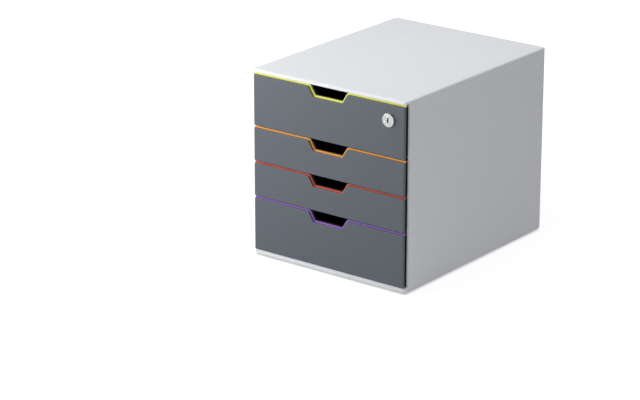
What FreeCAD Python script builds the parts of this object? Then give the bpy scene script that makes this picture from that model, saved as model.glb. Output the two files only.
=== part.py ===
import FreeCAD, Part
import math
import os

# Four-drawer desktop file drawer box: a light moulded housing with a recessed back, two runner
# panels and rubber feet, and four drawers made of a tray, a dark front, a coloured edge strip
# and screws. The top drawer carries a cam lock that turns up behind a strike under the housing's top.
#
# Millimetres. X is the width, Y the depth with the drawer fronts facing -Y, Z is up.
# The origin is on the ground in the middle of the housing's footprint.

V = FreeCAD.Vector

# ---- Driving dimensions ---------------------------------------------------------------------

# Housing shell
WIDTH = 280.0                # across the side walls
DEPTH = 356.0                # front of the top lip to the back edge
HEIGHT = 292.0               # feet included
WALL = 3.0                   # side walls, top and base
LONG_EDGE_RADIUS = 2.8       # the long outer edges, carried round the front of both lips
LIP_CORNER_RADIUS = 4.5      # front corners of the lips, seen from above
REAR_CORNER_RADIUS = 2.0     # rear upright edges
TOP_LIP_HEIGHT = 4.9         # front face of the top
BASE_LIP_HEIGHT = 7.9        # front face of the base
BASE_LIP_SETBACK = 2.0       # base lip behind the drawer fronts
LIP_WALL = 3.0               # front walls of both lips
LIP_LEDGE = 10.0             # depth of the ledge on top of the base lip
LIP_LEDGE_THICKNESS = 2.5
LIP_GUSSETS = 6              # gussets that carry the base ledge
GUSSET_THICKNESS = 2.0
LIP_EDGE_RADIUS = 0.8        # edges of the lips towards the drawers

# Drawer stack: every drawer takes a whole number of modules, the pitch of the runner channels
DRAWER_MODULES = {"drawer_1": 3, "drawer_2": 2, "drawer_3": 2, "drawer_4": 3}
BASE_RISE = 3.0              # first module line above the base lip
TOP_MARGIN = 4.1             # last module line to the top of the housing

# Feet
FOOT_HEIGHT = 2.0            # under the housing
FOOT_RADIUS = 8.0
FOOT_RECESS = 1.0            # depth of the foot's seat
FOOT_INSET = 24.0            # foot centre from the side and from the back
FOOT_CHAMFER = 0.6
SEAT_CLEARANCE = 0.2         # round seats, pegs and holes

# Back panel
PANEL_THICKNESS = 2.5
PANEL_RECESS = 2.0           # behind the shell's back edge
PANEL_CLEARANCE = 0.3
PANEL_FIELD_MARGIN = 24.0    # border round the raised field
PANEL_FIELD_RISE = 1.0
PANEL_FIELD_RADIUS = 10.0
PANEL_LEDGE = 6.0            # frame inside the shell that the panel seats on
PANEL_LEDGE_THICKNESS = 3.0
PANEL_BOSS = 11.0            # corner bosses for the panel screws
PANEL_BOSS_DEPTH = 8.0
PANEL_SCREW_INSET = 5.5      # screw axis from the inside of the walls

# Runner panels
RUNNER_THICKNESS = 2.0
RUNNER_CLEARANCE = 0.5       # at the runner's top and bottom edges
RUNNER_START = 3.0           # behind the side walls' front edges
RUNNER_END = 1.5             # in front of the corner bosses
LEDGE_THICKNESS = 2.0
GUARD_THICKNESS = 1.6
GUARD_CLEARANCE = 0.5        # over the tray's flange
STOP_LENGTH = 4.0            # front stop in each channel
LEDGE_LEAD_IN = 6.0          # slope at the front of each upper guard
STUD_RADIUS = 2.5            # studs of the shell that hold the runners
STUD_HEAD_RADIUS = 4.0
STUD_HEAD = 1.2
STUD_COLUMNS = 3
STUD_END_INSET = 30.0        # first and last column of studs from the runner's ends

# Drawer fronts
FRONT_INSET = 2.3            # front's side behind the housing's side
FRONT_WALL = 3.0
FRONT_DEPTH = 8.4            # depth of the side and bottom returns
RETURN_WALL = 2.5
RETURN_INSET = 7.0           # side returns in from the front's sides
FRONT_SIDE_RADIUS = 2.5
FRONT_EDGE_RADIUS = 0.7
FRONT_GAP = 0.6              # returns in front of the side walls
SEAM = 4.3                   # front's top edge below its module line
BOTTOM_SEAM = 0.5            # lowest front above the base lip
NOTCH_TOP_WIDTH = 71.5
NOTCH_FLOOR_WIDTH = 53.0
NOTCH_DEPTH = 15.0
NOTCH_TOP_RADIUS = 3.0
NOTCH_FLOOR_RADIUS = 4.5
STIFFENER_X = 60.0
STIFFENER_THICKNESS = 1.8
STIFFENER_DEPTH = 4.0
FRONT_BOSS_RADIUS = 4.0
FRONT_SCREW_INSET = 49.7     # from the front's side
FRONT_SCREW_LOW = 12.0       # lower screws above the front's bottom edge
FRONT_SCREW_HIGH = 15.0      # upper screws below the front's top edge

# Coloured edge strip
STRIP_DEPTH = 2.4            # behind the front's wall
STRIP_RISE = 2.5             # above the front's edge and into its notch
STRIP_BAND = 5.0             # below the front's edge, behind its wall
STRIP_END_INSET = 0.5
STRIP_CLEARANCE = 0.2
PEG_RADIUS = 1.2
PEG_LENGTH = 3.4
PEG_INSETS = (19.7, 67.7)    # from the front's side

# Trays
TRAY_CLEARANCE = 0.8         # tray side to the runner ledges, and tray floor over its module line
TRAY_WALL = 2.0
TRAY_FLOOR = 2.0
TRAY_FRONT_WALL = 2.2
TRAY_RIM_DROP = 8.0          # rim below the upper module line
TRAY_REAR_CLEARANCE = 0.9    # to the corner bosses of the housing
TRAY_FRONT_RADIUS = 3.0
TRAY_REAR_RADIUS = 12.0
TRAY_DRAFT_DEGREES = 1.5
TRAY_FLOOR_CHAMFER = 2.5
TRAY_PLATE_GAP = 0.8         # front plate, which hides the channels, to the housing's walls
TRAY_NOTCH_SLACK = 0.5       # tray notch behind the strip's notch
FLANGE_WIDTH = 6.0
FLANGE_THICKNESS = 2.2
REAR_FLANGE = 2.5
REAR_FLANGE_INSET = 13.5     # from the tray's side
EAR_WIDTH = 2.8              # stop ear outside the flange
EAR_LENGTH = 14.0
EAR_CLEARANCE = 0.7
TRAVEL = 256.0               # opening length of every drawer
FLOOR_RIBS = 5
FLOOR_RIB_WIDTH = 3.0
FLOOR_RIB_HEIGHT = 0.8
FLOOR_RIB_SIDE_MARGIN = 14.0
FLOOR_RIB_END_MARGIN = 56.0

# Screws
SCREW_RADIUS = 1.4
SCREW_HEAD_RADIUS = 2.9
SCREW_HEAD = 1.8
SCREW_CLEARANCE = 0.05       # in the bosses
SCREW_TIP_ROOM = 0.5         # hole beyond the screw's tip
SCREW_HEAD_CHAMFER = 0.7
SCREW_CROSS_HALF = 1.7
SCREW_CROSS_WIDTH = 0.7
SCREW_CROSS_DEPTH = 0.8
FRONT_SCREW_LENGTH = 6.6
PANEL_SCREW_LENGTH = 9.0

# Lock
LOCK_SIDE_INSET = 27.4       # axis from the front's right edge
LOCK_DROP = 23.0             # axis below the front's top edge
LOCK_HEAD_RADIUS = 10.0
LOCK_HEAD = 3.5
LOCK_HEAD_CHAMFER = 0.8
BARREL_RADIUS = 8.0
BARREL_FLAT = 7.0            # from the barrel's axis to its flats
BARREL_CLEARANCE = 0.1
PLUG_RADIUS = 6.0
PLUG_CLEARANCE = 0.05
PLUG_RECESS = 0.3
PLUG_SHOULDER = 1.0          # plug stands out behind the barrel
KEYWAY_WIDTH = 2.2
KEYWAY_HEIGHT = 7.8
KEYWAY_DEPTH = 14.0
KEYWAY_WARD_WIDTH = 1.2      # step on the left of the keyway
KEYWAY_WARD_HEIGHT = 2.0
NUT_RADIUS = 11.0
NUT_THICKNESS = 3.0
NUT_FLAT = 9.6               # from the nut's axis to its flats
CAM_GAP = 1.4                # behind the nut
CAM_THICKNESS = 2.0
CAM_HUB_RADIUS = 7.5
CAM_ROOT_HALF = 6.0
CAM_TIP_HALF = 4.5
CAM_TIP_RADIUS = 3.5
CAM_TOP_CLEARANCE = 2.4      # under the housing's top when locked
DRIVE_HALF = 3.0             # square drive of the plug
CAM_SCREW_HEAD_RADIUS = 4.5
CAM_SCREW_HEAD = 2.2
CAM_SCREW_LENGTH = 6.0
LOCK_BOSS_RADIUS = 13.0
STRIKE_OVERLAP = 2.6         # cam tip behind the strike's leg
STRIKE_LENGTH = 32.0         # across, in the middle over the cam
STRIKE_THICKNESS = 1.5       # leg and flange
STRIKE_FLANGE = 7.5          # depth of the flange under the top, the leg included
STRIKE_CLEARANCE = 0.5       # between the leg and the cam
STRIKE_PEG_RADIUS = 1.2      # pegs of the shell that the flange is staked on
STRIKE_PEG_SPACING = 20.0

# ---- Worked out from the driving dimensions ---------------------------------------------------

HALF_WIDTH = WIDTH / 2
FRONT_Y = -DEPTH / 2
BACK_Y = DEPTH / 2
SHELL_BOTTOM = FOOT_HEIGHT
BASE_TOP = SHELL_BOTTOM + WALL
BASE_LIP_TOP = SHELL_BOTTOM + BASE_LIP_HEIGHT
MODULE_BASE = BASE_LIP_TOP + BASE_RISE
MODULES = sum(DRAWER_MODULES.values())
MODULE = (HEIGHT - TOP_MARGIN - MODULE_BASE) / MODULES
TOP_UNDERSIDE = HEIGHT - WALL
TOP_LIP_UNDERSIDE = HEIGHT - TOP_LIP_HEIGHT
INNER_HALF = HALF_WIDTH - WALL

RETURN_BACK_Y = FRONT_Y + FRONT_DEPTH
SIDE_FRONT_Y = RETURN_BACK_Y + FRONT_GAP
BASE_LIP_Y = FRONT_Y + BASE_LIP_SETBACK
FRONT_HALF = HALF_WIDTH - FRONT_INSET
RETURN_HALF = FRONT_HALF - RETURN_INSET
STRIP_Y = FRONT_Y + FRONT_WALL

PANEL_FRONT_Y = BACK_Y - PANEL_RECESS - PANEL_THICKNESS
BOSS_FRONT_Y = PANEL_FRONT_Y - PANEL_BOSS_DEPTH
RUNNER_FRONT_Y = SIDE_FRONT_Y + RUNNER_START
RUNNER_BACK_Y = BOSS_FRONT_Y - RUNNER_END
RUNNER_FACE = INNER_HALF - RUNNER_THICKNESS
STOP_BACK_Y = RUNNER_FRONT_Y + STOP_LENGTH

FLANGE_HALF = RUNNER_FACE - EAR_CLEARANCE - EAR_WIDTH
TRAY_HALF = FLANGE_HALF - FLANGE_WIDTH
LEDGE_HALF = TRAY_HALF + TRAY_CLEARANCE
STOP_HALF = FLANGE_HALF + EAR_CLEARANCE
TRAY_FRONT_Y = RETURN_BACK_Y
TRAY_PLATE_HALF = INNER_HALF - TRAY_PLATE_GAP
TRAY_INSIDE_Y = TRAY_FRONT_Y + TRAY_FRONT_WALL
TRAY_BACK_Y = BOSS_FRONT_Y - TRAY_REAR_CLEARANCE
EAR_FRONT_Y = STOP_BACK_Y + TRAVEL

NUT_FRONT_Y = TRAY_INSIDE_Y
NUT_BACK_Y = NUT_FRONT_Y + NUT_THICKNESS
CAM_FRONT_Y = NUT_BACK_Y + CAM_GAP
CAM_BACK_Y = CAM_FRONT_Y + CAM_THICKNESS
LOCK_X = FRONT_HALF - LOCK_SIDE_INSET
LOCK_Z = HEIGHT - TOP_MARGIN - SEAM - LOCK_DROP
CAM_TIP_Z = TOP_UNDERSIDE - CAM_TOP_CLEARANCE
CAM_LENGTH = CAM_TIP_Z - LOCK_Z
STRIKE_BOTTOM = CAM_TIP_Z - STRIKE_OVERLAP
STRIKE_BACK_Y = CAM_FRONT_Y - STRIKE_CLEARANCE
STRIKE_FRONT_Y = STRIKE_BACK_Y - STRIKE_THICKNESS

REACH = 1.0                  # how far a cutting tool runs past the face it opens
TOUCH = 1e-4                 # what counts as lying on a plane


# ---- Shared forms -----------------------------------------------------------------------------

def block(x0, x1, y0, y1, z0, z1):
    return Part.makeBox(x1 - x0, y1 - y0, z1 - z0, V(x0, y0, z0))


def rod(radius, y0, y1, x, z):
    """Round bar along Y."""
    return Part.makeCylinder(radius, y1 - y0, V(x, y0, z), V(0, 1, 0))


def joined(first, others):
    return first.fuse(list(others)).removeSplitter()


def rounded_wire(corners):
    """Closed wire through (point, radius) corners, each turned by an arc of its radius."""
    ends = []
    for index, (point, radius) in enumerate(corners):
        back = (corners[index - 1][0] - point).normalize()
        ahead = (corners[(index + 1) % len(corners)][0] - point).normalize()
        half_angle = back.getAngle(ahead) / 2
        reach = radius / math.tan(half_angle)
        bisector = (back + ahead).normalize()
        middle = point + bisector * (radius / math.sin(half_angle) - radius)
        ends.append((point + back * reach, middle, point + ahead * reach, radius))
    edges = []
    for index, (entry, middle, leave, radius) in enumerate(ends):
        if radius > 0:
            edges.append(Part.Arc(entry, middle, leave).toShape())
        following = ends[(index + 1) % len(ends)][0]
        if leave.distanceToPoint(following) > TOUCH:
            edges.append(Part.makeLine(leave, following))
    return Part.Wire(edges)


def plan_wire(half, y0, y1, front_radius, rear_radius, z):
    """Rectangle seen from above, with its own radius for the front and the rear corners."""
    return rounded_wire([
        (V(-half, y0, z), front_radius),
        (V(half, y0, z), front_radius),
        (V(half, y1, z), rear_radius),
        (V(-half, y1, z), rear_radius),
    ])


def upright(corners, y0, y1):
    """Solid between y0 and y1 from an outline of (x, z, radius) corners in the front plane."""
    wire = rounded_wire([(V(x, y0, z), radius) for x, z, radius in corners])
    return Part.Face(wire).extrude(V(0, y1 - y0, 0))


def edges_on_plane(shape, axis, place):
    """Edges that lie wholly in the plane across an axis: 0 is X, 1 is Y and 2 is Z."""
    found = []
    for edge in shape.Edges:
        ends = [vertex.Point[axis] for vertex in edge.Vertexes]
        middle = edge.CenterOfMass[axis]
        if all(abs(value - place) < TOUCH for value in ends + [middle]):
            found.append(edge)
    return found


def screw(x, y_seat, z, length, head_radius=SCREW_HEAD_RADIUS, head=SCREW_HEAD):
    """Pan-head screw on Y: the shank runs forward from its seat and the head stands behind it."""
    shank = rod(SCREW_RADIUS, y_seat - length, y_seat, x, z)
    crown = y_seat + head
    cap = rod(head_radius, y_seat, crown, x, z)
    cap = cap.makeChamfer(SCREW_HEAD_CHAMFER, edges_on_plane(cap, 1, crown))
    bottom = crown - SCREW_CROSS_DEPTH
    arm = SCREW_CROSS_HALF
    half = SCREW_CROSS_WIDTH / 2
    cross = block(x - arm, x + arm, bottom, crown + REACH, z - half, z + half)
    cross = cross.fuse(block(x - half, x + half, bottom, crown + REACH, z - arm, z + arm))
    return joined(shank, [cap]).cut(cross)


# ---- Heights of the drawer stack ----------------------------------------------------------------

def module_lines():
    """Lower and upper module line of each drawer, top drawer first."""
    upper = MODULE_BASE + MODULES * MODULE
    lines = []
    for modules in DRAWER_MODULES.values():
        lower = upper - modules * MODULE
        lines.append((lower, upper))
        upper = lower
    return lines


def front_span(index):
    """Bottom and top edge of a drawer front."""
    lower, upper = module_lines()[index]
    is_lowest = index == len(DRAWER_MODULES) - 1
    bottom = BASE_LIP_TOP + BOTTOM_SEAM if is_lowest else lower
    return bottom, upper - SEAM


def rim_level(upper_line):
    return upper_line - TRAY_RIM_DROP


def front_screw_places(index):
    bottom, top = front_span(index)
    across = FRONT_HALF - FRONT_SCREW_INSET
    for x in (-across, across):
        for z in (bottom + FRONT_SCREW_LOW, top - FRONT_SCREW_HIGH):
            yield x, z


def peg_places(top):
    """Pegs of a front that hold its edge strip."""
    for inset in PEG_INSETS:
        x = FRONT_HALF - inset
        yield -x, top - STRIP_BAND / 2
        yield x, top - STRIP_BAND / 2


def notch_corners(top, grow):
    """Right half of a top edge with the finger notch, moved out from the front's edge by grow."""
    slope = (NOTCH_TOP_WIDTH - NOTCH_FLOOR_WIDTH) / 2 / NOTCH_DEPTH
    shift = grow * (slope - math.hypot(1, slope))
    top_radius = max(NOTCH_TOP_RADIUS + grow, 0)
    floor_radius = max(NOTCH_FLOOR_RADIUS - grow, 0)
    return [
        (NOTCH_TOP_WIDTH / 2 + shift, top + grow, top_radius),
        (NOTCH_FLOOR_WIDTH / 2 + shift, top - NOTCH_DEPTH + grow, floor_radius),
    ]


def mirrored(corners):
    """The same corners on the left side, in the order that carries on round the outline."""
    return [(-x, z, radius) for x, z, radius in reversed(corners)]


# ---- Housing ------------------------------------------------------------------------------------

def shell_bar(y0, y1):
    """Bar with the shell's outer section."""
    edge = LONG_EDGE_RADIUS
    corners = [
        (-HALF_WIDTH, SHELL_BOTTOM, edge),
        (HALF_WIDTH, SHELL_BOTTOM, edge),
        (HALF_WIDTH, HEIGHT, edge),
        (-HALF_WIDTH, HEIGHT, edge),
    ]
    return upright(corners, y0, y1)


def lip(y_front, outer_z, inner_z):
    """Front end of the top or the base: its outer edge carries the long edges round the front."""
    plan = plan_wire(HALF_WIDTH, y_front, SIDE_FRONT_Y, LIP_CORNER_RADIUS, 0, outer_z)
    bar = Part.Face(plan).extrude(V(0, 0, inner_z - outer_z))
    for z, radius in ((outer_z, LONG_EDGE_RADIUS), (inner_z, LIP_EDGE_RADIUS)):
        back = edges_on_plane(bar, 1, SIDE_FRONT_Y)
        rim = [edge for edge in edges_on_plane(bar, 2, z) if not any(edge.isSame(end) for end in back)]
        bar = bar.makeFillet(radius, rim)
    return bar


def stud_places():
    """Y and Z of the studs that hold a runner panel: two rows of columns."""
    first = RUNNER_FRONT_Y + STUD_END_INSET
    step = (RUNNER_BACK_Y - STUD_END_INSET - first) / (STUD_COLUMNS - 1)
    for column in range(STUD_COLUMNS):
        for line in (2, MODULES - 1):
            yield first + column * step, MODULE_BASE + line * MODULE


def wall_studs(side):
    """Staked studs on the inside of a wall; side is -1 for the left and 1 for the right."""
    inward = V(-side, 0, 0)
    root = side * (INNER_HALF + WALL / 2)
    shank_length = WALL / 2 + RUNNER_THICKNESS + STUD_HEAD
    studs = []
    for y, z in stud_places():
        studs.append(Part.makeCylinder(STUD_RADIUS, shank_length, V(root, y, z), inward))
        head_base = V(side * RUNNER_FACE, y, z)
        studs.append(Part.makeCone(STUD_HEAD_RADIUS, STUD_RADIUS, STUD_HEAD, head_base, inward))
    return studs


def strike_pegs(radius, bottom):
    """Pegs for the lock's strike, or their holes, from inside the top down to bottom."""
    root = TOP_UNDERSIDE + WALL / 2
    y = (STRIKE_BACK_Y - STRIKE_FLANGE + STRIKE_FRONT_Y) / 2
    places = [V(LOCK_X + side * STRIKE_PEG_SPACING / 2, y, root) for side in (-1, 1)]
    return [Part.makeCylinder(radius, root - bottom, place, V(0, 0, -1)) for place in places]


def panel_frame():
    """Ledge inside the back of the shell, with a boss in each corner for the panel's screws."""
    over = INNER_HALF + WALL / 2
    y0 = PANEL_FRONT_Y - PANEL_LEDGE_THICKNESS
    frame = block(-over, over, y0, PANEL_FRONT_Y, BASE_TOP - WALL / 2, TOP_UNDERSIDE + WALL / 2)
    opening = block(
        -INNER_HALF + PANEL_LEDGE,
        INNER_HALF - PANEL_LEDGE,
        y0 - REACH,
        PANEL_FRONT_Y + REACH,
        BASE_TOP + PANEL_LEDGE,
        TOP_UNDERSIDE - PANEL_LEDGE,
    )
    pieces = [frame.cut(opening)]
    for x, z in panel_screw_places():
        half = PANEL_BOSS / 2
        pieces.append(block(x - half, x + half, BOSS_FRONT_Y, PANEL_FRONT_Y, z - half, z + half))
    return pieces


def panel_screw_places():
    x = INNER_HALF - PANEL_SCREW_INSET
    for z in (BASE_TOP + PANEL_SCREW_INSET, TOP_UNDERSIDE - PANEL_SCREW_INSET):
        yield -x, z
        yield x, z


def base_ledge():
    """Ledge on top of the base lip and the gussets that carry it."""
    over = INNER_HALF + WALL / 2
    ledge_back = BASE_LIP_Y + LIP_LEDGE
    wall_back = BASE_LIP_Y + LIP_WALL
    y_start = BASE_LIP_Y + LIP_WALL / 2
    pieces = [block(-over, over, y_start, ledge_back, BASE_LIP_TOP - LIP_LEDGE_THICKNESS, BASE_LIP_TOP)]
    floor = BASE_TOP - WALL / 2
    pieces.append(block(-over, over, y_start, wall_back, floor, BASE_LIP_TOP))
    step = 2 * INNER_HALF / (LIP_GUSSETS + 1)
    half = GUSSET_THICKNESS / 2
    for index in range(LIP_GUSSETS):
        x = -INNER_HALF + (index + 1) * step
        pieces.append(block(x - half, x + half, y_start, ledge_back, floor, BASE_LIP_TOP - WALL / 2))
    return pieces


def foot_places():
    x = HALF_WIDTH - FOOT_INSET
    front = BASE_LIP_Y + FOOT_INSET
    rear = BACK_Y - FOOT_INSET
    return {
        "foot_front_left": (-x, front),
        "foot_front_right": (x, front),
        "foot_rear_left": (-x, rear),
        "foot_rear_right": (x, rear),
    }


def housing_shell():
    body = shell_bar(SIDE_FRONT_Y, BACK_Y)
    plan = plan_wire(HALF_WIDTH, SIDE_FRONT_Y - WIDTH, BACK_Y, 0, REAR_CORNER_RADIUS, SHELL_BOTTOM)
    body = body.common(Part.Face(plan).extrude(V(0, 0, HEIGHT - SHELL_BOTTOM)))
    base_lip = lip(BASE_LIP_Y, SHELL_BOTTOM, BASE_LIP_TOP)
    top_lip = lip(FRONT_Y, HEIGHT, TOP_LIP_UNDERSIDE)
    shell = body.fuse([base_lip, top_lip])
    room = block(-INNER_HALF, INNER_HALF, FRONT_Y + LIP_WALL, BACK_Y + REACH, BASE_TOP, TOP_UNDERSIDE)
    mouth_y = (FRONT_Y, FRONT_Y + LIP_WALL + REACH)
    mouth = block(-INNER_HALF, INNER_HALF, *mouth_y, BASE_LIP_TOP, TOP_LIP_UNDERSIDE)
    shell = shell.cut([room, mouth])
    additions = strike_pegs(STRIKE_PEG_RADIUS, TOP_UNDERSIDE - STRIKE_THICKNESS)
    additions += base_ledge() + panel_frame() + wall_studs(-1) + wall_studs(1)
    shell = joined(shell, additions)
    cuts = []
    for x, y in foot_places().values():
        seat = FOOT_RADIUS + SEAT_CLEARANCE
        cuts.append(Part.makeCylinder(seat, FOOT_RECESS + REACH, V(x, y, SHELL_BOTTOM - REACH)))
    for x, z in panel_screw_places():
        depth = PANEL_SCREW_LENGTH - PANEL_THICKNESS + SCREW_TIP_ROOM
        cuts.append(rod(SCREW_RADIUS + SCREW_CLEARANCE, PANEL_FRONT_Y - depth, PANEL_FRONT_Y + REACH, x, z))
    return shell.cut(cuts)


def lock_strike():
    """Steel angle staked under the top: the lock's cam turns up behind its leg."""
    ends = (LOCK_X - STRIKE_LENGTH / 2, LOCK_X + STRIKE_LENGTH / 2)
    flange_bottom = TOP_UNDERSIDE - STRIKE_THICKNESS
    leg = block(*ends, STRIKE_FRONT_Y, STRIKE_BACK_Y, STRIKE_BOTTOM, TOP_UNDERSIDE)
    flange = block(*ends, STRIKE_BACK_Y - STRIKE_FLANGE, STRIKE_BACK_Y, flange_bottom, TOP_UNDERSIDE)
    return joined(leg, [flange]).cut(strike_pegs(STRIKE_PEG_RADIUS + SEAT_CLEARANCE, flange_bottom - REACH))


def back_panel():
    half = INNER_HALF - PANEL_CLEARANCE
    low = BASE_TOP + PANEL_CLEARANCE
    high = TOP_UNDERSIDE - PANEL_CLEARANCE
    panel = block(-half, half, PANEL_FRONT_Y, PANEL_FRONT_Y + PANEL_THICKNESS, low, high)
    margin = PANEL_FIELD_MARGIN
    rear = PANEL_FRONT_Y + PANEL_THICKNESS
    field = upright(
        [
            (-half + margin, low + margin, PANEL_FIELD_RADIUS),
            (half - margin, low + margin, PANEL_FIELD_RADIUS),
            (half - margin, high - margin, PANEL_FIELD_RADIUS),
            (-half + margin, high - margin, PANEL_FIELD_RADIUS),
        ],
        rear - PANEL_THICKNESS / 2,
        rear + PANEL_FIELD_RISE,
    )
    panel = joined(panel, [field])
    holes = []
    for x, z in panel_screw_places():
        holes.append(rod(SCREW_RADIUS + SEAT_CLEARANCE, PANEL_FRONT_Y - REACH, rear + REACH, x, z))
    return panel.cut(holes)


def back_screws():
    seat = PANEL_FRONT_Y + PANEL_THICKNESS
    return Part.makeCompound([screw(x, seat, z, PANEL_SCREW_LENGTH) for x, z in panel_screw_places()])


def foot(x, y):
    """Round rubber foot with a chamfer round the face that it stands on."""
    top = SHELL_BOTTOM + FOOT_RECESS
    disc = Part.makeCylinder(FOOT_RADIUS, top, V(x, y, 0))
    lower = [edge for edge in disc.Edges if edge.BoundBox.ZMax < TOUCH]
    return disc.makeChamfer(FOOT_CHAMFER, lower)


def channel(upper_line, side):
    """Lower ledge, upper guard and front stop that hold a tray's flange at one module line."""
    rim = rim_level(upper_line)
    flange_bottom = rim - FLANGE_THICKNESS
    guard_bottom = rim + GUARD_CLEARANCE
    guard_top = guard_bottom + GUARD_THICKNESS
    root = INNER_HALF - RUNNER_THICKNESS / 2
    inner, outer = sorted((side * LEDGE_HALF, side * root))
    ledge = block(inner, outer, RUNNER_FRONT_Y, RUNNER_BACK_Y, flange_bottom - LEDGE_THICKNESS, flange_bottom)
    slope = Part.makePolygon([
        V(inner, RUNNER_FRONT_Y, guard_top),
        V(inner, RUNNER_FRONT_Y + LEDGE_LEAD_IN, guard_bottom),
        V(inner, RUNNER_BACK_Y, guard_bottom),
        V(inner, RUNNER_BACK_Y, guard_top),
        V(inner, RUNNER_FRONT_Y, guard_top),
    ])
    guard = Part.Face(slope).extrude(V(outer - inner, 0, 0))
    stop_inner, stop_outer = sorted((side * STOP_HALF, side * root))
    stop_y = (RUNNER_FRONT_Y, STOP_BACK_Y)
    stop = block(stop_inner, stop_outer, *stop_y, flange_bottom - LEDGE_THICKNESS, guard_top)
    return [ledge, guard, stop]


def runner(side):
    """Runner panel of one side wall, with a channel at every module line."""
    inner, outer = sorted((side * RUNNER_FACE, side * INNER_HALF))
    plate = block(
        inner,
        outer,
        RUNNER_FRONT_Y,
        RUNNER_BACK_Y,
        BASE_TOP + RUNNER_CLEARANCE,
        TOP_UNDERSIDE - RUNNER_CLEARANCE,
    )
    channels = []
    for line in range(1, MODULES + 1):
        channels += channel(MODULE_BASE + line * MODULE, side)
    panel = joined(plate, channels)
    hole_radius = STUD_RADIUS + SEAT_CLEARANCE
    hole_length = RUNNER_THICKNESS + 2 * REACH
    holes = []
    for y, z in stud_places():
        start = V(side * (INNER_HALF + REACH), y, z)
        holes.append(Part.makeCylinder(hole_radius, hole_length, start, V(-side, 0, 0)))
    return panel.cut(holes)


# ---- Drawers ------------------------------------------------------------------------------------

def lock_bore(y0, y1, spare=BARREL_CLEARANCE):
    """Hole for the lock barrel, with its two flats."""
    radius = BARREL_RADIUS + spare
    flat = BARREL_FLAT + spare
    bore = rod(radius, y0, y1, LOCK_X, LOCK_Z)
    return bore.common(block(LOCK_X - flat, LOCK_X + flat, y0, y1, LOCK_Z - radius, LOCK_Z + radius))


def drawer_front(index):
    """Front moulding: a wall with the finger notch, returns at the sides and bottom, bosses behind."""
    bottom, top = front_span(index)
    notch = notch_corners(top, 0)
    outline = [(-FRONT_HALF, bottom, 0), (FRONT_HALF, bottom, 0), (FRONT_HALF, top, 0)]
    outline += notch + mirrored(notch) + [(-FRONT_HALF, top, 0)]
    wall = upright(outline, FRONT_Y, STRIP_Y)
    rim = block(-RETURN_HALF, RETURN_HALF, STRIP_Y, RETURN_BACK_Y, bottom, top)
    hollow = block(
        -RETURN_HALF + RETURN_WALL,
        RETURN_HALF - RETURN_WALL,
        STRIP_Y - REACH,
        RETURN_BACK_Y + REACH,
        bottom + RETURN_WALL,
        top + REACH,
    )
    front = joined(wall, [rim.cut(hollow)])
    upright_edges = []
    for edge in edges_on_plane(front, 1, FRONT_Y):
        box = edge.BoundBox
        if box.XLength < TOUCH and abs(abs(box.XMin) - FRONT_HALF) < TOUCH:
            upright_edges.append(edge)
    front = front.makeFillet(FRONT_SIDE_RADIUS, upright_edges)
    loop = []
    for edge in edges_on_plane(front, 1, FRONT_Y):
        box = edge.BoundBox
        if box.XLength > TOUCH:
            loop.append(edge)
    front = front.makeFillet(FRONT_EDGE_RADIUS, loop)
    inside_wall = FRONT_Y + FRONT_WALL / 2
    boss_y = (inside_wall, RETURN_BACK_Y)
    additions = [rod(FRONT_BOSS_RADIUS, *boss_y, x, z) for x, z in front_screw_places(index)]
    half = STIFFENER_THICKNESS / 2
    stiffener_top = top - STRIP_BAND - STRIP_CLEARANCE
    for x in (-STIFFENER_X, STIFFENER_X):
        additions.append(block(
            x - half,
            x + half,
            inside_wall,
            STRIP_Y + STIFFENER_DEPTH,
            bottom + RETURN_WALL / 2,
            stiffener_top,
        ))
    for x, z in peg_places(top):
        additions.append(rod(PEG_RADIUS, inside_wall, STRIP_Y + PEG_LENGTH, x, z))
    if index == 0:
        additions.append(rod(LOCK_BOSS_RADIUS, *boss_y, LOCK_X, LOCK_Z))
    front = joined(front, additions)
    cuts = []
    for x, z in front_screw_places(index):
        depth = FRONT_SCREW_LENGTH - TRAY_FRONT_WALL + SCREW_TIP_ROOM
        cuts.append(rod(SCREW_RADIUS + SCREW_CLEARANCE, RETURN_BACK_Y - depth, RETURN_BACK_Y + REACH, x, z))
    if index == 0:
        cuts.append(lock_bore(FRONT_Y - REACH, RETURN_BACK_Y + REACH))
    return front.cut(cuts)


def edge_strip(index):
    """Coloured strip behind the front's wall: it stands over the front's edge and lines its notch."""
    top = front_span(index)[1]
    over = notch_corners(top, STRIP_RISE)
    under = notch_corners(top, -STRIP_BAND)
    wide = FRONT_HALF - STRIP_END_INSET
    narrow = RETURN_HALF - RETURN_WALL - STRIP_CLEARANCE
    right = [(narrow, top - STRIP_BAND, 0), (narrow, top, 0), (wide, top, 0), (wide, top + STRIP_RISE, 0)]
    right += over
    outline = right + mirrored(right) + mirrored(under[::-1]) + under[::-1]
    strip = upright(outline, STRIP_Y, STRIP_Y + STRIP_DEPTH)
    reach = (STRIP_Y - REACH, STRIP_Y + STRIP_DEPTH + REACH)
    return strip.cut([rod(PEG_RADIUS + STRIP_CLEARANCE, *reach, x, z) for x, z in peg_places(top)])


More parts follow.
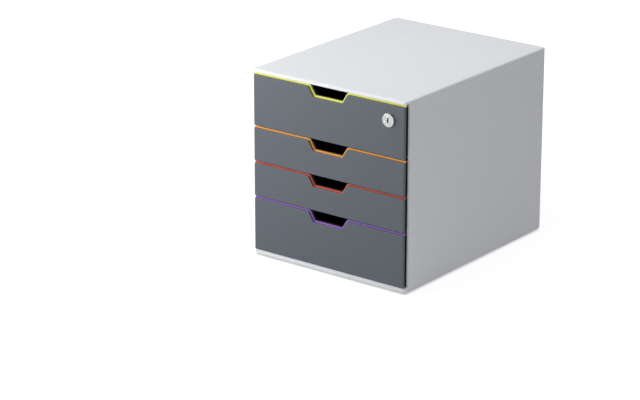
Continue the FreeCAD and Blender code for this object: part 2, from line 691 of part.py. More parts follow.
def tray_shell(bottom, rim):
    """Open box with drafted side and rear walls, and a chamfer all round its floor."""
    slope = math.tan(math.radians(TRAY_DRAFT_DEGREES))

    def section(y_front, skin, z, bevel=0.0):
        """Outline at height z, skin inside the outer surface and bevel further in."""
        inset = skin + bevel + slope * (rim - z)
        rear_radius = TRAY_REAR_RADIUS - skin - bevel
        front_radius = TRAY_FRONT_RADIUS - bevel
        y_back = TRAY_BACK_Y - inset
        return plan_wire(TRAY_HALF - inset, y_front + bevel, y_back, front_radius, rear_radius, z)

    floor_top = bottom + TRAY_FLOOR
    wall_foot = floor_top + TRAY_FLOOR_CHAMFER
    outside = Part.makeLoft([section(TRAY_FRONT_Y, 0, z) for z in (bottom, rim)], True, True)
    floor_outline = section(TRAY_INSIDE_Y, TRAY_WALL, floor_top, TRAY_FLOOR_CHAMFER)
    walls = [section(TRAY_INSIDE_Y, TRAY_WALL, z) for z in (wall_foot, rim)]
    return outside.cut(Part.makeLoft([floor_outline] + walls, True, True))


def tray_flanges(rim):
    """Side flanges that run in the channels, their stop ears, and the flange across the rear."""
    flanges = []
    flange_y = (TRAY_FRONT_Y + TRAY_FRONT_RADIUS, TRAY_BACK_Y - TRAY_REAR_RADIUS)
    levels = (rim - FLANGE_THICKNESS, rim)
    for side in (-1, 1):
        inner, outer = sorted((side * (TRAY_HALF - TRAY_WALL / 2), side * FLANGE_HALF))
        flanges.append(block(inner, outer, *flange_y, *levels))
        inner, outer = sorted((side * TRAY_HALF, side * (FLANGE_HALF + EAR_WIDTH)))
        flanges.append(block(inner, outer, EAR_FRONT_Y, EAR_FRONT_Y + EAR_LENGTH, *levels))
    rear_y = (TRAY_BACK_Y - TRAY_WALL / 2, TRAY_BACK_Y + REAR_FLANGE)
    rear_half = TRAY_HALF - REAR_FLANGE_INSET
    flanges.append(block(-rear_half, rear_half, *rear_y, *levels))
    return flanges


def floor_ribs(floor_top):
    """Low ribs across the floor that let a sheet be picked up."""
    first = TRAY_INSIDE_Y + FLOOR_RIB_END_MARGIN
    step = (TRAY_BACK_Y - FLOOR_RIB_END_MARGIN - first) / (FLOOR_RIBS - 1)
    half_length = TRAY_HALF - FLOOR_RIB_SIDE_MARGIN
    half = FLOOR_RIB_WIDTH / 2
    levels = (floor_top - TRAY_FLOOR / 2, floor_top + FLOOR_RIB_HEIGHT)
    ribs = []
    for number in range(FLOOR_RIBS):
        y = first + number * step
        ribs.append(block(-half_length, half_length, y - half, y + half, *levels))
    return ribs


def tray(index):
    """Drawer tray: the open box, its wide front plate with the notch, flanges, ears and ribs."""
    lower, upper = module_lines()[index]
    bottom = lower + TRAY_CLEARANCE
    rim = rim_level(upper)
    front_top = front_span(index)[1]
    front_y = (TRAY_FRONT_Y, TRAY_INSIDE_Y)
    plate = block(-TRAY_PLATE_HALF, TRAY_PLATE_HALF, *front_y, bottom, front_top)
    additions = [plate] + tray_flanges(rim) + floor_ribs(bottom + TRAY_FLOOR)
    body = joined(tray_shell(bottom, rim), additions)
    notch = notch_corners(front_top, STRIP_RISE - TRAY_NOTCH_SLACK)
    right = [(notch[0][0], front_top + REACH, 0), notch[1]]
    through_y = (TRAY_FRONT_Y - REACH, TRAY_INSIDE_Y + REACH)
    cuts = [upright(right + mirrored(right), *through_y)]
    for x, z in front_screw_places(index):
        cuts.append(rod(SCREW_RADIUS + SEAT_CLEARANCE, *through_y, x, z))
    if index == 0:
        cuts.append(lock_bore(*through_y))
    return body.cut(cuts)


def front_screws(index):
    places = front_screw_places(index)
    return Part.makeCompound([screw(x, TRAY_INSIDE_Y, z, FRONT_SCREW_LENGTH) for x, z in places])


# ---- Lock -----------------------------------------------------------------------------------------

def lock_barrel():
    """Barrel with its round head in front of the drawer front and flats on the part inside."""
    head = rod(LOCK_HEAD_RADIUS, FRONT_Y - LOCK_HEAD, FRONT_Y, LOCK_X, LOCK_Z)
    head = head.makeChamfer(LOCK_HEAD_CHAMFER, edges_on_plane(head, 1, FRONT_Y - LOCK_HEAD))
    barrel = lock_bore(FRONT_Y - LOCK_HEAD / 2, CAM_FRONT_Y - PLUG_SHOULDER, 0)
    body = joined(head, [barrel])
    bore = rod(PLUG_RADIUS + PLUG_CLEARANCE, FRONT_Y - LOCK_HEAD - REACH, CAM_FRONT_Y, LOCK_X, LOCK_Z)
    return body.cut(bore)


def lock_plug():
    """Turning plug with a keyway in front and a square drive behind the barrel."""
    face = FRONT_Y - LOCK_HEAD + PLUG_RECESS
    turned = rod(PLUG_RADIUS, face, CAM_FRONT_Y, LOCK_X, LOCK_Z)
    drive = block(
        LOCK_X - DRIVE_HALF,
        LOCK_X + DRIVE_HALF,
        CAM_FRONT_Y - CAM_THICKNESS,
        CAM_BACK_Y,
        LOCK_Z - DRIVE_HALF,
        LOCK_Z + DRIVE_HALF,
    )
    plug = joined(turned, [drive])
    half = KEYWAY_WIDTH / 2
    high = KEYWAY_HEIGHT / 2
    slot_y = (face - REACH, face + KEYWAY_DEPTH)
    keyway = block(LOCK_X - half, LOCK_X + half, *slot_y, LOCK_Z - high, LOCK_Z + high)
    ward_left = LOCK_X - half - KEYWAY_WARD_WIDTH
    ward = block(ward_left, LOCK_X + half, *slot_y, LOCK_Z - KEYWAY_WARD_HEIGHT, LOCK_Z)
    tapped_front = CAM_BACK_Y - CAM_SCREW_LENGTH - SCREW_TIP_ROOM
    tapped = rod(SCREW_RADIUS + SCREW_CLEARANCE, tapped_front, CAM_BACK_Y + REACH, LOCK_X, LOCK_Z)
    return plug.cut([keyway, ward, tapped])


def lock_nut():
    """Nut with two flats that clamps the front and the tray's front wall to the barrel."""
    nut = rod(NUT_RADIUS, NUT_FRONT_Y, NUT_BACK_Y, LOCK_X, LOCK_Z)
    between = (LOCK_X - NUT_FLAT, LOCK_X + NUT_FLAT, NUT_FRONT_Y, NUT_BACK_Y)
    nut = nut.common(block(*between, LOCK_Z - NUT_RADIUS, LOCK_Z + NUT_RADIUS))
    return nut.cut(lock_bore(NUT_FRONT_Y - REACH, NUT_BACK_Y + REACH))


def lock_cam():
    """Cam arm, pointing left when unlocked, on the plug's square drive."""
    tip = LOCK_X - CAM_LENGTH
    arm = upright(
        [
            (LOCK_X, LOCK_Z - CAM_ROOT_HALF, 0),
            (LOCK_X, LOCK_Z + CAM_ROOT_HALF, 0),
            (tip, LOCK_Z + CAM_TIP_HALF, CAM_TIP_RADIUS),
            (tip, LOCK_Z - CAM_TIP_HALF, CAM_TIP_RADIUS),
        ],
        CAM_FRONT_Y,
        CAM_BACK_Y,
    )
    cam = joined(rod(CAM_HUB_RADIUS, CAM_FRONT_Y, CAM_BACK_Y, LOCK_X, LOCK_Z), [arm])
    half = DRIVE_HALF + SCREW_CLEARANCE
    hole_y = (CAM_FRONT_Y - REACH, CAM_BACK_Y + REACH)
    return cam.cut(block(LOCK_X - half, LOCK_X + half, *hole_y, LOCK_Z - half, LOCK_Z + half))


def cam_screw():
    return screw(LOCK_X, CAM_BACK_Y, LOCK_Z, CAM_SCREW_LENGTH, CAM_SCREW_HEAD_RADIUS, CAM_SCREW_HEAD)


# ---- Assembly -------------------------------------------------------------------------------------

def pieces():
    nodes = {
        "housing_shell": housing_shell(),
        "lock_strike": lock_strike(),
        "back_panel": back_panel(),
        "back_panel_screws": back_screws(),
        "runner_left": runner(-1),
        "runner_right": runner(1),
        "lock_barrel": lock_barrel(),
        "lock_nut": lock_nut(),
        "lock_plug": lock_plug(),
        "lock_cam": lock_cam(),
        "lock_cam_screw": cam_screw(),
    }
    for name, (x, y) in foot_places().items():
        nodes[name] = foot(x, y)
    for index, drawer in enumerate(DRAWER_MODULES):
        nodes[f"{drawer}_tray"] = tray(index)
        nodes[f"{drawer}_front"] = drawer_front(index)
        nodes[f"{drawer}_edge_strip"] = edge_strip(index)
        nodes[f"{drawer}_screws"] = front_screws(index)
    return nodes


os.makedirs("parts", exist_ok=True)
for name, shape in pieces().items():
    shape.exportStep(f"parts/{name}.step")
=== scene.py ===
"""Desktop file drawer: its plastic and metal finishes, its small hardware, and the studio it stands in."""

import math

import bmesh
import bpy
from bpy.props import FloatProperty, FloatVectorProperty, PointerProperty
from bpy.types import Operator, Panel, PropertyGroup
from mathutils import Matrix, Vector


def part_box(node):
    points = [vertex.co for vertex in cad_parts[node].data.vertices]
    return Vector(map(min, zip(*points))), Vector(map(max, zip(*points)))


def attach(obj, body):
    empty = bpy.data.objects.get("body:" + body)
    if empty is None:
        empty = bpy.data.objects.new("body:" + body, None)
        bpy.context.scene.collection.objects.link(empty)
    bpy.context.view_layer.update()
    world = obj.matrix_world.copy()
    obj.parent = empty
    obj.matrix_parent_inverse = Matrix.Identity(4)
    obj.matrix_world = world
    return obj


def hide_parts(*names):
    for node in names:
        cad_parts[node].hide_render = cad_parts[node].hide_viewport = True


bl_info = {
    "name": "Desktop File Drawer",
    "version": (1, 0, 0),
    "blender": (4, 5, 0),
    "location": "3D Viewport > Sidebar > File Drawer",
    "description": "Finishes, hardware and studio of a desktop file drawer box",
    "category": "Object",
}

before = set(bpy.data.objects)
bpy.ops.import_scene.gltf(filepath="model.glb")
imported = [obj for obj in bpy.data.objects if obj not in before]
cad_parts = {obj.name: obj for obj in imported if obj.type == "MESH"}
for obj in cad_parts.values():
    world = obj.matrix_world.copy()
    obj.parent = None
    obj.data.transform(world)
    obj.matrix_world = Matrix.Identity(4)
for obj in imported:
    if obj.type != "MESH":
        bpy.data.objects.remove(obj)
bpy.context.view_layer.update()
DRAWERS = ("drawer_1", "drawer_2", "drawer_3", "drawer_4")
EDGE_COLOURS = ("yellow", "orange", "red", "violet")
FEET = ("foot_front_left", "foot_front_right", "foot_rear_left", "foot_rear_right")
MM = 0.001
WELD = 1e-6
SMOOTH_BELOW = math.radians(35)
SHARP_ABOVE = math.radians(50)
ALONG_Y = Vector((0, 1, 0))
ALONG_Z = Vector((0, 0, 1))

# Hardware
SCREW_HEAD_RADIUS = 2.9 * MM
SCREW_HEAD_HEIGHT = 1.8 * MM
SCREW_SHANK = 1.4 * MM
SCREW_PITCH = 1.1 * MM
BARREL_BORE = 6.05 * MM
BARREL_CREST = 8.0 * MM
BARREL_ROOT = 7.6 * MM
BARREL_PITCH = 1.0 * MM
BARREL_FLAT = 7.0 * MM
BARREL_SINK = 0.5 * MM  # how far the barrel reaches into the head
PLUG_ROUNDING = 0.35 * MM
KEYWAY_DEPTH = 12 * MM
DRIVE_HALF = 3.0 * MM

# Studio: shades and glows are fractions of white
FLOOR_SIZE = 24
FLOOR_BOUNCE = 0.7
FLOOR_SHADE = 0.3
FLOOR_GLOW = 0.82
GLOW_NEAR = 0.4
GLOW_FAR = 1.2
CONTACT_SHADOW_REACH = 0.004
CONTACT_SHADOW_LEVEL = 0.4
WORLD_LEVEL = 0.2
LIGHT_TARGET = Vector((0, 0, 0.15))
CAMERA_PLACE = (2.1676, -2.9936, 1.3654)
CAMERA_DROP = 0.3379  # below level, in radians
CAMERA_TURN = 0.6591
CAMERA_LENS = 145.33


# ---- Colours and nodes --------------------------------------------------------------------------


def linear(code, alpha=1.0):
    """Scene-linear RGBA of an sRGB hex colour."""
    channels = [int(code[index : index + 2], 16) / 255 for index in (1, 3, 5)]
    straight = [c / 12.92 if c <= 0.04045 else ((c + 0.055) / 1.055) ** 2.4 for c in channels]
    return (*straight, alpha)


def add_node(tree, kind, values=None, links=None, **settings):
    """Adds a node with its settings, socket values and incoming links."""
    node = tree.nodes.new(kind)
    for name, value in settings.items():
        setattr(node, name, value)
    for socket, value in (values or {}).items():
        node.inputs[socket].default_value = value
    for socket, source in (links or {}).items():
        tree.links.new(source, node.inputs[socket])
    return node


def new_material(name):
    """Empty node material and its tree."""
    material = bpy.data.materials.new(name)
    material.use_nodes = True
    material.node_tree.nodes.clear()
    return material, material.node_tree


def finish_node(nodes, material):
    """Gives a CAD node's object the material in all its slots."""
    for name in nodes:
        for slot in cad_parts[name].material_slots:
            slot.material = material


# ---- Settings -----------------------------------------------------------------------------------


def colour(name, description, code):
    """Colour setting whose default is an sRGB hex colour."""
    return FloatVectorProperty(
        name=name, description=description, subtype="COLOR", size=4, min=0, max=1, default=linear(code)
    )


def length(name, description, default):
    """Length setting in metres."""
    return FloatProperty(
        name=name, description=description, unit="LENGTH", subtype="DISTANCE", min=0, default=default
    )


class FileDrawerColours(PropertyGroup):
    """Colours of the plastics and metals"""

    housing: colour("Housing", "Light grey ABS of the housing", "#E3E5E9")
    runner: colour("Runners", "Light grey polystyrene of the runner panels", "#C9CBCE")
    front: colour("Fronts", "Dark grey ABS of the drawer fronts", "#4A525A")
    tray: colour("Trays", "Charcoal polystyrene of the trays", "#1D1E20")
    yellow: colour("Top edge", "Yellow-green strip of the top drawer", "#F1F468")
    orange: colour("Second edge", "Orange strip of the second drawer", "#EBA040")
    red: colour("Third edge", "Red strip of the third drawer", "#BC4A35")
    violet: colour("Bottom edge", "Violet strip of the bottom drawer", "#8A5FB8")
    rubber: colour("Feet", "Black rubber of the feet", "#1C1C1C")
    nickel: colour("Lock", "Nickel plating of the lock's face", "#BEBFBF")
    zinc: colour("Screws", "Zinc plating of the screws, nut, cam and strike", "#B9BABC")


class FileDrawerSizes(PropertyGroup):
    """Sizes of the grain, the lock and the feet"""

    housing_grain: length("Housing grain", "Cell of the eroded texture on the housing", 0.0013)
    front_grain: length("Front grain", "Cell of the eroded texture on the fronts", 0.001)
    lock_rounding: length("Lock rounding", "Rounded edge of the lock's head", 0.0004)
    keyway_width: length("Keyway width", "Slot for the key", 0.0022)
    keyway_height: length("Keyway height", "Slot for the key, from top to bottom", 0.0078)
    foot_ring: length("Foot ring", "Outer radius of the groove under a foot", 0.0056)


# ---- Finishes -----------------------------------------------------------------------------------


def moulded_plastic(name, base, grain, relief, roughness):
    """Injection-moulded plastic: an eroded mould leaves a fine grain that softens its shine.

    The grain is the size of its cells and the relief their depth.
    """
    material, tree = new_material(name)
    place = add_node(tree, "ShaderNodeTexCoord").outputs["Object"]
    # Real spark-eroded grain is 0.1 to 0.3 mm; it is drawn a few times coarser so that it shows.
    cells = add_node(
        tree,
        "ShaderNodeTexNoise",
        values={"Scale": 1 / grain, "Detail": 3.0, "Roughness": 0.6},
        links={"Vector": place},
    )
    # Slow changes of shade where the melt cooled at different rates, about 90 mm apart.
    flow = add_node(
        tree,
        "ShaderNodeTexNoise",
        values={"Scale": 1 / 0.09, "Detail": 2.0},
        links={"Vector": place},
    )
    # Rubbed patches about 12 mm across, which shine a little more than the rest.
    rubbed = add_node(
        tree,
        "ShaderNodeTexNoise",
        values={"Scale": 1 / 0.012, "Detail": 4.0, "Roughness": 0.65},
        links={"Vector": place},
    )
    shade = add_node(
        tree,
        "ShaderNodeMix",
        data_type="RGBA",
        values={6: [c * 0.975 for c in base[:3]] + [1], 7: base},
        links={0: flow.outputs["Fac"]},
    )
    speckle = add_node(
        tree,
        "ShaderNodeMapRange",
        values={"From Min": 0.3, "From Max": 0.7, "To Min": 0.955, "To Max": 1.045},
        links={"Value": cells.outputs["Fac"]},
    )
    tint = add_node(
        tree,
        "ShaderNodeVectorMath",
        operation="SCALE",
        links={0: shade.outputs[2], "Scale": speckle.outputs["Result"]},
    )
    satin = add_node(
        tree,
        "ShaderNodeMapRange",
        values={
            "From Min": 0.3,
            "From Max": 0.7,
            "To Min": roughness + 0.04,
            "To Max": roughness - 0.04,
        },
        links={"Value": rubbed.outputs["Fac"]},
    )
    bump = add_node(
        tree,
        "ShaderNodeBump",
        values={"Strength": 1.0, "Distance": relief},
        links={"Height": cells.outputs["Fac"]},
    )
    shader = add_node(
        tree,
        "ShaderNodeBsdfPrincipled",
        values={"IOR": 1.54},
        links={
            "Base Color": tint.outputs["Vector"],
            "Roughness": satin.outputs["Result"],
            "Normal": bump.outputs["Normal"],
        },
    )
    add_node(tree, "ShaderNodeOutputMaterial", links={"Surface": shader.outputs["BSDF"]})
    return material


def plated_metal(name, base, roughness):
    """Plated metal: the thin coat is a little uneven, so its shine changes from place to place."""
    material, tree = new_material(name)
    place = add_node(tree, "ShaderNodeTexCoord").outputs["Object"]
    blotches = add_node(
        tree,
        "ShaderNodeTexNoise",
        values={"Scale": 1 / 0.004, "Detail": 4.0},
        links={"Vector": place},
    )
    shine = add_node(
        tree,
        "ShaderNodeMapRange",
        values={
            "From Min": 0.3,
            "From Max": 0.7,
            "To Min": roughness - 0.05,
            "To Max": roughness + 0.05,
        },
        links={"Value": blotches.outputs["Fac"]},
    )
    tarnish = add_node(
        tree,
        "ShaderNodeMix",
        data_type="RGBA",
        values={6: [c * 0.94 for c in base[:3]] + [1], 7: base},
        links={0: blotches.outputs["Fac"]},
    )
    shader = add_node(
        tree,
        "ShaderNodeBsdfPrincipled",
        values={"Metallic": 1.0},
        links={"Base Color": tarnish.outputs[2], "Roughness": shine.outputs["Result"]},
    )
    add_node(tree, "ShaderNodeOutputMaterial", links={"Surface": shader.outputs["BSDF"]})
    return material


def seen_directly(tree):
    """1 where the eye, a reflection or a clear body looks at the surface, and 0 for stray light."""
    path = add_node(tree, "ShaderNodeLightPath")
    either = add_node(
        tree,
        "ShaderNodeMath",
        operation="MAXIMUM",
        links={0: path.outputs["Is Camera Ray"], 1: path.outputs["Is Glossy Ray"]},
    )
    return add_node(
        tree,
        "ShaderNodeMath",
        operation="MAXIMUM",
        links={0: either.outputs[0], 1: path.outputs["Is Transmission Ray"]},
    ).outputs[0]


# ---- Modelling ----------------------------------------------------------------------------------


def turned(name, start, along, rings, steps=48, tube=False):
    """Round piece on an axis: a circle extruded and scaled from ring to ring.

    Each ring is its radius and its distance from start. A tube ends on its first ring.
    """
    bpy.ops.object.select_all(action="DESELECT")
    radius, reach = rings[0]
    bpy.ops.mesh.primitive_circle_add(
        vertices=steps,
        radius=radius,
        fill_type="NOTHING" if tube else "NGON",
        location=start + along * reach,
        rotation=along.to_track_quat("Z", "Y").to_euler(),
    )
    piece = bpy.context.active_object
    piece.name = name
    bpy.ops.object.mode_set(mode="EDIT")
    bpy.ops.mesh.select_all(action="SELECT")
    for new_radius, new_reach in rings[1:]:
        step = along * (new_reach - reach)
        bpy.ops.mesh.extrude_region_move(TRANSFORM_OT_translate={"value": step})
        grow = new_radius / radius
        across = [1.0 if part else grow for part in along]
        bpy.ops.transform.resize(value=across, center_override=start + along * new_reach)
        radius, reach = new_radius, new_reach
    tidy_mesh()
    return piece


def rounded(radius, face, size, segments=5):
    """Rings of a rounded outer edge, from the side of a round piece to its face at -axis."""
    rings = [(radius, face + size * 1.25)]
    for index in range(segments + 1):
        angle = math.pi / 2 * index / segments
        rings.append((radius - size + size * math.cos(angle), face + size - size * math.sin(angle)))
    return rings + [(radius - size * 1.25, face)]


def tidy_mesh():
    """Welds the open piece's doubles, turns its faces outwards and leaves edit mode."""
    bpy.ops.mesh.select_all(action="SELECT")
    bpy.ops.mesh.remove_doubles(threshold=WELD)
    bpy.ops.mesh.normals_make_consistent(inside=False)
    bpy.ops.object.mode_set(mode="OBJECT")


def only(piece, *others):
    """Makes the piece active and selects it with the others."""
    bpy.ops.object.select_all(action="DESELECT")
    for item in (piece, *others):
        item.select_set(True)
    bpy.context.view_layer.objects.active = piece


def settle(piece):
    """Puts the piece's place into its mesh and shades its round parts smooth."""
    only(piece)
    bpy.ops.object.transform_apply(location=True, rotation=True, scale=True)
    bpy.ops.object.shade_smooth_by_angle(angle=SMOOTH_BELOW)


def apply_modifier(piece, kind, **settings):
    """Adds a modifier with its settings and applies it."""
    modifier = piece.modifiers.new(kind.title(), kind)
    for name, value in settings.items():
        setattr(modifier, name, value)
    only(piece)
    bpy.ops.object.modifier_apply(modifier=modifier.name)


def round_edges(piece, width, segments=3):
    """Rounds every sharp edge."""
    apply_modifier(
        piece,
        "BEVEL",
        width=width,
        segments=segments,
        limit_method="ANGLE",
        angle_limit=SHARP_ABOVE,
    )


def cut(piece, *tools):
    """Cuts the tools out of the piece and removes them."""
    for tool in tools:
        apply_modifier(piece, "BOOLEAN", object=tool, operation="DIFFERENCE", solver="EXACT")
        bpy.data.objects.remove(tool)


def unite(piece, tool):
    """Joins the tool's solid to the piece and removes the tool."""
    apply_modifier(piece, "BOOLEAN", object=tool, operation="UNION", solver="EXACT")
    bpy.data.objects.remove(tool)


def bar(name, low, high):
    """Block between two corners, to be shaped further or cut with."""
    bpy.ops.object.select_all(action="DESELECT")
    low, high = Vector(low), Vector(high)
    bpy.ops.mesh.primitive_cube_add(size=1, location=(low + high) / 2, scale=high - low)
    piece = bpy.context.active_object
    piece.name = name
    return piece


def copy_of(piece, name, shift):
    """Copy with a mesh of its own, moved in its mesh."""
    twin = piece.copy()
    twin.data = piece.data.copy()
    twin.name = name
    bpy.context.scene.collection.objects.link(twin)
    only(twin)
    bpy.ops.object.mode_set(mode="EDIT")
    bpy.ops.mesh.select_all(action="SELECT")
    bpy.ops.transform.translate(value=shift)
    bpy.ops.object.mode_set(mode="OBJECT")
    return twin


def merged(name, pieces):
    """Joins the pieces into one object."""
    only(*pieces)
    bpy.ops.object.join()
    pieces[0].name = name
    return pieces[0]


def fit_piece(piece, material, body, slot, *nodes):
    """Finishes a new piece and hands it to the frame in place of its CAD nodes."""
    piece.data.materials.clear()
    piece.data.materials.append(material)
    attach(piece, body)
    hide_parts(*nodes)


# ---- Hardware -----------------------------------------------------------------------------------


def pan_head_screw(name, seat, radius, height, shank, reach):
    """Pan-head screw with a rolled thread and a cross recess; its head stands on the seat along +Y."""
    pitch = SCREW_PITCH
    rings = [(shank * 0.35, -reach), (shank * 0.9, -reach + pitch)]
    turns = int((reach - 2.2 * pitch) / pitch)
    for turn in range(turns):
        root = -reach + (turn + 1.2) * pitch
        rings += [(shank * 0.8, root), (shank, root + pitch * 0.35), (shank * 0.8, root + pitch * 0.7)]
    rings += [
        (shank * 0.9, -0.02 * MM),
        (radius * 0.97, 0),
        (radius, height * 0.1),
        (radius, height * 0.42),
        (radius * 0.96, height * 0.62),
        (radius * 0.86, height * 0.8),
        (radius * 0.68, height * 0.93),
        (radius * 0.4, height),
    ]
    screw = turned(name, seat, ALONG_Y, rings, steps=32)
    wing, half = 0.62 * radius, 0.12 * radius
    bottom, above = height * 0.45, height * 1.5
    for across, upright in ((wing, half), (half, wing)):
        corner = Vector((across, 0, upright))
        recess = bar("recess", seat - corner + ALONG_Y * bottom, seat + corner + ALONG_Y * above)
        narrow_tip(recess, seat.y + bottom, across > upright)
        cut(screw, recess)
    settle(screw)
    return screw


def narrow_tip(tool, place, wide):
    """Draws in the tool's face at that place on Y, as the point of a cross driver is."""
    only(tool)
    bpy.ops.object.transform_apply(location=True, rotation=True, scale=True)
    bpy.ops.object.mode_set(mode="EDIT")
    mesh = bmesh.from_edit_mesh(tool.data)
    for face in mesh.faces:
        face.select = abs(face.calc_center_median().y - place) < WELD
    bmesh.update_edit_mesh(tool.data)
    middle = sum((vert.co for vert in tool.data.vertices), Vector()) / len(tool.data.vertices)
    value = (0.45, 1, 0.7) if wide else (0.7, 1, 0.45)
    bpy.ops.transform.resize(value=value, center_override=middle)
    bpy.ops.object.mode_set(mode="OBJECT")


def screws_at(name, pattern, places):
    """One object of copies of a screw, moved from its seat to the places."""
    copies = [copy_of(pattern, f"{name}_{index}", place) for index, place in enumerate(places)]
    return merged(name, copies)


def screw_places(low, high, radius):
    """Axes of four screws at the corners of their node's box."""
    return [
        Vector((x, 0, z))
        for z in (low.z + radius, high.z - radius)
        for x in (low.x + radius, high.x - radius)
    ]


def lock_ring(sizes):
    """Turned lock head with rounded edges and a shallow dish, on a threaded barrel with two flats."""
    low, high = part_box("lock_barrel")
    axis = Vector(((low.x + high.x) / 2, 0, (low.z + high.z) / 2))
    radius = (high.x - low.x) / 2
    front, back = low.y, high.y
    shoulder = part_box("drawer_1_front")[0].y
    bore, root, sunk = BARREL_BORE, BARREL_ROOT, shoulder - BARREL_SINK
    rings = [(bore, back), (root, back)]
    for turn in range(int((back - shoulder) / BARREL_PITCH) - 1):
        crest = back - (turn + 0.5) * BARREL_PITCH
        rings += [(BARREL_CREST, crest), (root, crest - BARREL_PITCH / 2)]
    rings += [(root, sunk), (bore, sunk), (bore, back)]
    barrel = turned("barrel", axis, ALONG_Y, rings, steps=72, tube=True)
    flats(barrel, axis, BARREL_FLAT)
    head_rings = [
        (bore, shoulder),
        (radius, shoulder),
        *rounded(radius, front, sizes.lock_rounding),
        (radius - 1.4 * MM, front),
        (radius - 1.6 * MM, front + 0.03 * MM),
        (radius - 2.4 * MM, front + 0.12 * MM),
        (bore + 0.4 * MM, front + 0.14 * MM),
        (bore + 0.35 * MM, front + 0.14 * MM),
        (bore, front + 0.45 * MM),
        (bore, shoulder),
    ]
    ring = turned("lock_ring", axis, ALONG_Y, head_rings, steps=72, tube=True)
    unite(ring, barrel)
    only(ring)
    bpy.ops.object.mode_set(mode="EDIT")
    bpy.ops.mesh.select_all(action="SELECT")
    bpy.ops.mesh.dissolve_degenerate(threshold=WELD)
    tidy_mesh()
    settle(ring)
    return ring


def flats(piece, axis, half):
    """Cuts the two flats that stop the barrel from turning."""
    only(piece)
    bpy.ops.object.mode_set(mode="EDIT")
    for side in (-1, 1):
        bpy.ops.mesh.select_all(action="SELECT")
        bpy.ops.mesh.bisect(
            plane_co=axis + Vector((side * half, 0, 0)),
            plane_no=(side, 0, 0),
            use_fill=True,
            clear_outer=True,
        )
    tidy_mesh()


def lock_core(sizes):
    """Turned plug with a rounded face, a stepped keyway and a square drive for the cam."""
    low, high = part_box("lock_plug")
    axis = Vector(((low.x + high.x) / 2, 0, (low.z + high.z) / 2))
    radius = (high.x - low.x) / 2
    drive_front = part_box("lock_cam")[0].y
    rings = [(radius, drive_front), *rounded(radius, low.y, PLUG_ROUNDING)]
    core = turned("lock_core", axis, ALONG_Y, rings, steps=72)
    half = DRIVE_HALF
    drive = bar(
        "drive",
        axis + Vector((-half, drive_front - 1 * MM, -half)),
        axis + Vector((half, high.y, half)),
    )
    round_edges(drive, 0.2 * MM, 2)
    unite(core, drive)
    wide, tall = sizes.keyway_width / 2, sizes.keyway_height / 2
    mouth, depth = low.y - 1 * MM, low.y + KEYWAY_DEPTH
    slot = bar("slot", axis + Vector((-wide, mouth, -tall)), axis + Vector((wide, depth, tall)))
    round_edges(slot, 0.4 * MM, 2)
    step = bar(
        "step",
        axis + Vector((-wide - 1.2 * MM, mouth, -2 * MM)),
        axis + Vector((0, depth - 1 * MM, 0)),
    )
    cut(core, slot, step)
    settle(core)
    return core


def shade_keyway_walls(core, sizes):
    """Gives the walls of the keyway the plug's second material, a near-black painted shade."""
    low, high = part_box("lock_plug")
    middle = Vector(((low.x + high.x) / 2, 0, (low.z + high.z) / 2))
    # Walls and floor of the slot, away from its mouth, get the near-black painted shade of the deep recess.
    for face in core.data.polygons:
        place = face.center - middle
        inside = abs(place.x) < sizes.keyway_width * 1.1 and abs(place.z) < sizes.keyway_height * 0.51
        if inside and abs(face.normal.y) < 0.9 and place.y < high.y - 4 * MM:
            face.material_index = 1
        if inside and face.normal.y < -0.9 and place.y > low.y + 2 * MM:
            face.material_index = 1


def rubber_foot(name, centre, radius, height, ring):
    """Moulded bumper: a rounded button with a groove and a dimple in the face that it stands on."""
    rings = [
        (0.9 * MM, 0.7 * MM),
        (1.6 * MM, 0.35 * MM),
        (2.2 * MM, 0.05 * MM),
        (2.6 * MM, 0.0),
        (ring - 0.9 * MM, 0.0),
        (ring - 0.7 * MM, 0.4 * MM),
        (ring - 0.2 * MM, 0.4 * MM),
        (ring, 0.0),
        (radius - 1.1 * MM, 0.0),
        (radius - 0.5 * MM, 0.12 * MM),
        (radius - 0.15 * MM, 0.45 * MM),
        (radius, 0.9 * MM),
        (radius, height),
    ]
    foot = turned(name, centre, ALONG_Z, rings, steps=48)
    settle(foot)
    return foot


# ---- Pieces -------------------------------------------------------------------------------------


class FILEDRAWER_OT_housing(Operator):
    """Finish the housing, its back panel and the runner panels"""

    bl_idname = "file_drawer.housing"
    bl_label = "Housing"

    def execute(self, context):
        colours = context.scene.file_drawer_colours
        sizes = context.scene.file_drawer_sizes
        # ABS from an eroded mould: an even, almost matt light grey with a soft sheen at a low angle.
        housing = moulded_plastic(
            "light grey moulded ABS", colours.housing, sizes.housing_grain, relief=0.04 * MM, roughness=0.62
        )
        finish_node(["housing_shell", "back_panel"], housing)
        # Plain polystyrene from a smoother mould: a shade darker and a little shinier.
        runner = moulded_plastic(
            "light grey moulded polystyrene",
            colours.runner,
            sizes.housing_grain,
            relief=0.01 * MM,
            roughness=0.4,
        )
        finish_node(["runner_left", "runner_right"], runner)
        return {"FINISHED"}


class FILEDRAWER_OT_drawers(Operator):
    """Finish the fronts, trays and coloured edge strips of the drawers"""

    bl_idname = "file_drawer.drawers"
    bl_label = "Drawers"

    def execute(self, context):
        colours = context.scene.file_drawer_colours
        sizes = context.scene.file_drawer_sizes
        # Satin ABS: dark grey that turns paler where it catches the light of the room.
        front = moulded_plastic(
            "dark grey satin ABS", colours.front, sizes.front_grain, relief=0.04 * MM, roughness=0.4
        )
        # Polystyrene coloured through: near black, with the soft shine of a plain mould.
        tray = moulded_plastic(
            "charcoal moulded polystyrene",
            colours.tray,
            sizes.housing_grain,
            relief=0.02 * MM,
            roughness=0.5,
        )
        for drawer, tint in zip(DRAWERS, EDGE_COLOURS):
            finish_node([f"{drawer}_front"], front)
            finish_node([f"{drawer}_tray"], tray)
            # ABS coloured through: a clear, even colour with a satin shine.
            base = getattr(colours, tint)
            strip = moulded_plastic(
                f"{tint} satin ABS", base, sizes.front_grain, relief=0.01 * MM, roughness=0.4
            )
            finish_node([f"{drawer}_edge_strip"], strip)
        return {"FINISHED"}


